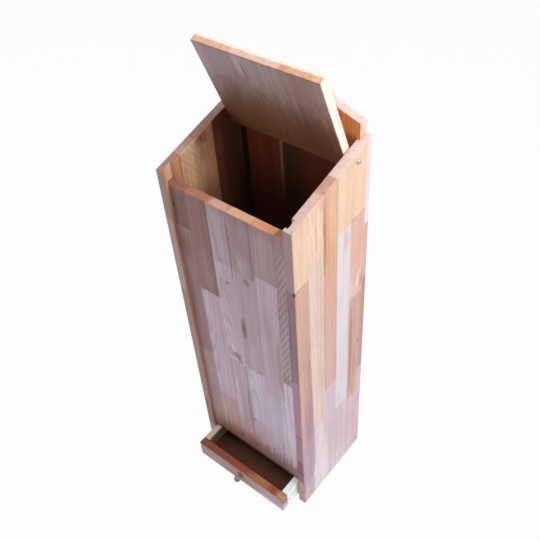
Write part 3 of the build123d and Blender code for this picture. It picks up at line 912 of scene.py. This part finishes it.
# Bright zinc on the pivot screws, duller steel on the hidden brads and screw
metals = {
    "brightZinc": {"colour": (0.80, 0.82, 0.86), "smooth": 0.20, "dull": 0.34,
                   "nodes": ("left_pivot_screw", "right_pivot_screw")},
    "plainSteel": {"colour": (0.66, 0.66, 0.68), "smooth": 0.32, "dull": 0.52,
                   "nodes": ("cleat_brads", "slat_brads", "drawer_brads", "knob_screw")},
}
metalSurface = {
    "cloudWaves": (0.9, 0.9, 0.9),
    "scratchWaves": (0.6, 9.0, 9.0),
    "darkShare": 0.86,
    "toneRange": (0.35, 0.70),
    "roughRange": (0.30, 0.72),
    "bump": 0.12,
    "bumpDepth": 0.1,
}


def metalFinish(name, look):
    material = bpy.data.materials.new(name)
    material.use_nodes = True
    tree = material.node_tree
    shader = tree.nodes["Principled BSDF"]
    spot = add(tree, "ShaderNodeTexCoord")
    place = vectorCalc(tree, "MULTIPLY", spot.outputs["Object"], (1 / mm, 1 / mm, 1 / mm))
    cloud = noise(tree, place, metalSurface["cloudWaves"], 3.0)
    scratch = noise(tree, place, metalSurface["scratchWaves"], 2.0)
    dark = linear([c * metalSurface["darkShare"] for c in look["colour"]])
    brightShare = ease(tree, cloud, *metalSurface["toneRange"])
    tone = blend(tree, brightShare, dark, linear(look["colour"]))
    feed(tree, shader.inputs["Base Color"], tone)
    shader.inputs["Metallic"].default_value = 1.0
    rough = ease(tree, cloud, *metalSurface["roughRange"], look["dull"], look["smooth"])
    feed(tree, shader.inputs["Roughness"], rough)
    bump = add(tree, "ShaderNodeBump")
    bump.inputs["Strength"].default_value = metalSurface["bump"]
    bump.inputs["Distance"].default_value = metalSurface["bumpDepth"] * mm
    feed(tree, bump.inputs["Height"], scratch)
    feed(tree, shader.inputs["Normal"], bump.outputs[0])
    return material


for name, look in metals.items():
    finish = metalFinish(name, look)
    for node in look["nodes"]:
        dress(node, finish)
print("screws and brads finished")

# Camera: above the right front corner, looking down into the open box
cameraView = {
    "place": (0.4937, -0.6293, 1.1765),
    "turn": 42.202,
    "down": 44.515,
    "roll": -4.824,
    "lens": 47.0,
}
cameraData = bpy.data.cameras.new("camera")
cameraData.lens = cameraView["lens"]
camera = bpy.data.objects.new("camera", cameraData)
turn = Matrix.Rotation(math.radians(cameraView["turn"]), 4, "Z")
tilt = Matrix.Rotation(math.radians(90 - cameraView["down"]), 4, "X")
roll = Matrix.Rotation(math.radians(cameraView["roll"]), 4, "Z")
camera.matrix_world = Matrix.Translation(cameraView["place"]) @ turn @ tilt @ roll
bpy.context.scene.collection.objects.link(camera)
bpy.context.scene.camera = camera

# Soft lamps: a warm one high on the right, one overhead, cool ones low on the right and from the left
lamps = {
    "warmWindow": {
        "place": (1.30, 0.10, 1.40), "aim": (0, -0.1, 0.5), "size": 0.5, "power": 11.3,
        "colour": (1.0, 0.80, 0.56),
    },
    "coolWindow": {
        "place": (1.85, 0.50, 0.6), "aim": (0, -0.1, 0.35), "size": 1.0, "power": 17,
        "colour": (0.80, 0.90, 1.0),
    },
    "overhead": {
        "place": (0.1, -0.2, 1.9), "aim": (0, -0.1, 0.3), "size": 1.0, "power": 12,
        "colour": (1.0, 0.90, 0.86),
    },
    "leftFill": {
        "place": (-1.6, -0.9, 1.3), "aim": (0, -0.1, 0.4), "size": 1.2, "power": 15,
        "colour": (0.78, 0.88, 1.0),
    },
}
for name, lamp in lamps.items():
    data = bpy.data.lights.new(name, "AREA")
    data.shape = "SQUARE"
    data.size = lamp["size"]
    data.energy = lamp["power"]
    data.color = lamp["colour"]
    light = bpy.data.objects.new(name, data)
    way = Vector(lamp["aim"]) - Vector(lamp["place"])
    turned = way.to_track_quat("-Z", "Y").to_matrix().to_4x4()
    light.matrix_world = Matrix.Translation(lamp["place"]) @ turned
    bpy.context.scene.collection.objects.link(light)


def seenDirectly(tree):
    # 1 for rays that show the background itself, 0 for rays that light the object
    path = add(tree, "ShaderNodeLightPath")
    share = calc(tree, "MAXIMUM", path.outputs["Is Camera Ray"], path.outputs["Is Glossy Ray"])
    return calc(tree, "MAXIMUM", share, path.outputs["Is Transmission Ray"])


# Room light, and white where the room itself is seen
room = {"colour": (0.86, 0.88, 1.0, 1), "strength": 0.24}
world = bpy.data.worlds.new("room")
bpy.context.scene.world = world
world.use_nodes = True
tree = world.node_tree
ambient = tree.nodes["Background"]
ambient.inputs["Color"].default_value = room["colour"]
ambient.inputs["Strength"].default_value = room["strength"]
white = add(tree, "ShaderNodeBackground")
white.inputs["Color"].default_value = (1, 1, 1, 1)
white.inputs["Strength"].default_value = 1.0
choice = add(tree, "ShaderNodeMixShader")
feed(tree, choice.inputs[0], seenDirectly(tree))
feed(tree, choice.inputs[1], ambient.outputs[0])
feed(tree, choice.inputs[2], white.outputs[0])
feed(tree, tree.nodes["World Output"].inputs["Surface"], choice.outputs[0])

# Floor: a broad pale sheet that keeps a faint shadow
floorSheet = {"halfWidth": 6.0, "albedo": 0.82, "glow": 0.96, "roughness": 0.95, "specular": 0.1}
form = bmesh.new()
bmesh.ops.create_grid(form, x_segments=1, y_segments=1, size=floorSheet["halfWidth"])
floorMesh = bpy.data.meshes.new("floor")
form.to_mesh(floorMesh)
form.free()
floor = bpy.data.objects.new("floor", floorMesh)
bpy.context.scene.collection.objects.link(floor)
floorPaper = bpy.data.materials.new("floorPaper")
floorPaper.use_nodes = True
tree = floorPaper.node_tree
paper = tree.nodes["Principled BSDF"]
albedo = floorSheet["albedo"]
paper.inputs["Base Color"].default_value = (albedo, albedo, albedo, 1)
paper.inputs["Roughness"].default_value = floorSheet["roughness"]
paper.inputs["Specular IOR Level"].default_value = floorSheet["specular"]
glow = add(tree, "ShaderNodeEmission")
glow.inputs["Strength"].default_value = 1.0
choice = add(tree, "ShaderNodeMixShader")
feed(tree, choice.inputs[0], calc(tree, "MULTIPLY", seenDirectly(tree), floorSheet["glow"]))
feed(tree, choice.inputs[1], paper.outputs[0])
feed(tree, choice.inputs[2], glow.outputs[0])
feed(tree, tree.nodes["Material Output"].inputs["Surface"], choice.outputs[0])
floorMesh.materials.append(floorPaper)
bpy.context.scene.view_settings.view_transform = "Standard"
print("camera, lamps and floor placed")
